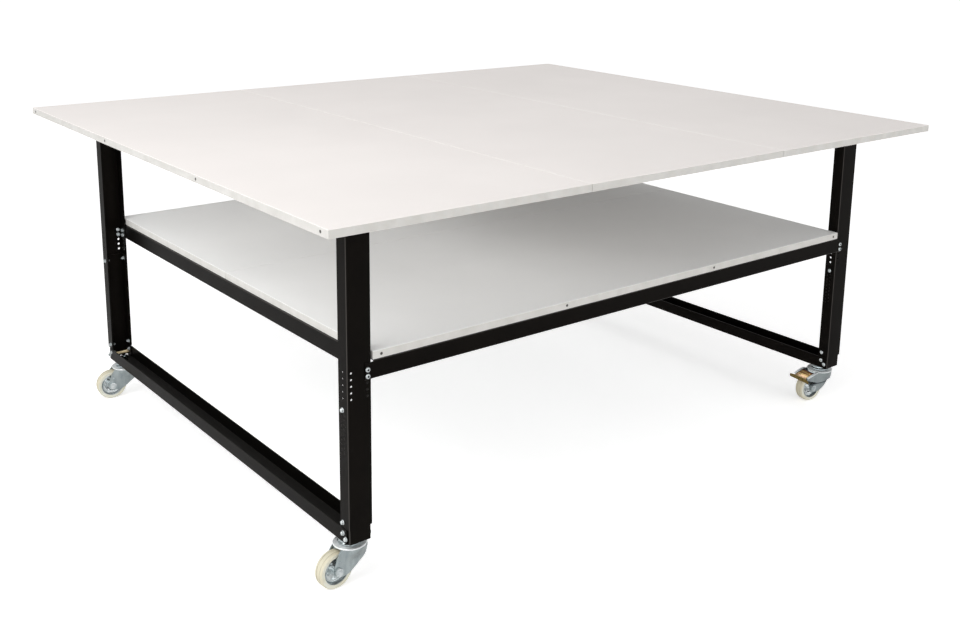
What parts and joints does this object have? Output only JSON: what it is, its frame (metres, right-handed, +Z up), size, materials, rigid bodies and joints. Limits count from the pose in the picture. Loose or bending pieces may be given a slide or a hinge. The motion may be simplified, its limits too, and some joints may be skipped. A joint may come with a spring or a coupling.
{
  "type": "assembly table",
  "caption": "Large assembly table with a white boarded worktop and shelf on a height-adjustable black steel frame with swivel casters.",
  "frame": {"origin": "on the floor under the middle of the worktop", "axes": "+X along the worktop's long side, +Y along its short side, +Z up; the braked casters are on the +X end"},
  "size_m": [1.9, 1.6, 0.825],
  "materials": {
    "board": "white laminate, satin",
    "frame": "black powder coat, satin",
    "zinc": "bright zinc plate",
    "yellow_zinc": "yellow zinc plate",
    "tyre": "cream, satin"
  },
  "bodies": {
    "base": {"bottom_rail_left": "frame", "bottom_rail_right": "frame", "inner_leg_front_left": "frame", "inner_leg_back_left": "frame", "inner_leg_front_right": "frame", "inner_leg_back_right": "frame", "foot_spacer_front_left": "yellow_zinc", "foot_spacer_back_left": "yellow_zinc", "foot_spacer_front_right": "yellow_zinc", "foot_spacer_back_right": "yellow_zinc", "stem_bolt_front_left": "zinc", "stem_bolt_back_left": "zinc", "stem_bolt_front_right": "zinc", "stem_bolt_back_right": "zinc", "swivel_head_front_left": "zinc", "swivel_head_back_left": "zinc", "swivel_head_front_right": "zinc", "swivel_head_back_right": "zinc"},
    "upper_frame": {"worktop_board_left": "board", "worktop_board_middle": "board", "worktop_board_right": "board", "shelf_board_front": "board", "shelf_board_back": "board", "top_rail_front": "frame", "top_rail_back": "frame", "top_rail_left": "frame", "top_rail_right": "frame", "top_middle_beam": "frame", "shelf_rail_front": "frame", "shelf_rail_back": "frame", "shelf_rail_left": "frame", "shelf_rail_right": "frame", "shelf_middle_beam": "frame", "outer_leg_front_left": "frame", "outer_leg_back_left": "frame", "outer_leg_front_right": "frame", "outer_leg_back_right": "frame"},
    "swivel_front_left": {"fork_front_left": "zinc", "axle_front_left": "zinc"},
    "wheel_front_left": {"wheel_rim_front_left": "zinc", "tyre_front_left": "tyre"},
    "swivel_back_left": {"fork_back_left": "zinc", "axle_back_left": "zinc"},
    "wheel_back_left": {"wheel_rim_back_left": "zinc", "tyre_back_left": "tyre"},
    "swivel_front_right": {"fork_front_right": "zinc", "axle_front_right": "zinc", "pedal_pin_front_right": "zinc"},
    "wheel_front_right": {"wheel_rim_front_right": "zinc", "tyre_front_right": "tyre"},
    "pedal_front_right": {"brake_pedal_front_right": "yellow_zinc"},
    "swivel_back_right": {"fork_back_right": "zinc", "axle_back_right": "zinc", "pedal_pin_back_right": "zinc"},
    "wheel_back_right": {"wheel_rim_back_right": "zinc", "tyre_back_right": "tyre"},
    "pedal_back_right": {"brake_pedal_back_right": "yellow_zinc"}
  },
  "joints": [
    {"name": "height_adjust", "type": "slide", "parent": "base", "child": "upper_frame", "axis": [0, 0, 1], "range_m": [0, 0.09]},
    {"name": "swivel_turn_front_left", "type": "hinge", "parent": "base", "child": "swivel_front_left", "pos_m": [-0.8015, -0.612, 0.089], "axis": [0, 0, 1], "continuous": true},
    {"name": "wheel_spin_front_left", "type": "hinge", "parent": "swivel_front_left", "child": "wheel_front_left", "pos_m": [-0.8424, -0.61486, 0.04], "axis": [-0.0698, 0.9976, 0], "continuous": true},
    {"name": "swivel_turn_back_left", "type": "hinge", "parent": "base", "child": "swivel_back_left", "pos_m": [-0.8015, 0.612, 0.089], "axis": [0, 0, 1], "continuous": true},
    {"name": "wheel_spin_back_left", "type": "hinge", "parent": "swivel_back_left", "child": "wheel_back_left", "pos_m": [-0.84227, 0.61629, 0.04], "axis": [0.1045, 0.9945, 0], "continuous": true},
    {"name": "swivel_turn_front_right", "type": "hinge", "parent": "base", "child": "swivel_front_right", "pos_m": [0.8015, -0.612, 0.089], "axis": [0, 0, 1], "continuous": true},
    {"name": "wheel_spin_front_right", "type": "hinge", "parent": "swivel_front_right", "child": "wheel_front_right", "pos_m": [0.7609, -0.60629, 0.04], "axis": [0.1392, 0.9903, 0], "continuous": true},
    {"name": "pedal_press_front_right", "type": "hinge", "parent": "swivel_front_right", "child": "pedal_front_right", "pos_m": [0.75941, -0.60608, 0.083], "axis": [-0.1392, -0.9903, 0], "range_deg": [0, 10]},
    {"name": "swivel_turn_back_right", "type": "hinge", "parent": "base", "child": "swivel_back_right", "pos_m": [0.8015, 0.612, 0.089], "axis": [0, 0, 1], "continuous": true},
    {"name": "wheel_spin_back_right", "type": "hinge", "parent": "swivel_back_right", "child": "wheel_back_right", "pos_m": [0.76056, 0.61415, 0.04], "axis": [0.0523, 0.9986, 0], "continuous": true},
    {"name": "pedal_press_back_right", "type": "hinge", "parent": "swivel_back_right", "child": "pedal_back_right", "pos_m": [0.75906, 0.61422, 0.083], "axis": [-0.0523, -0.9986, 0], "range_deg": [0, 10]}
  ]
}
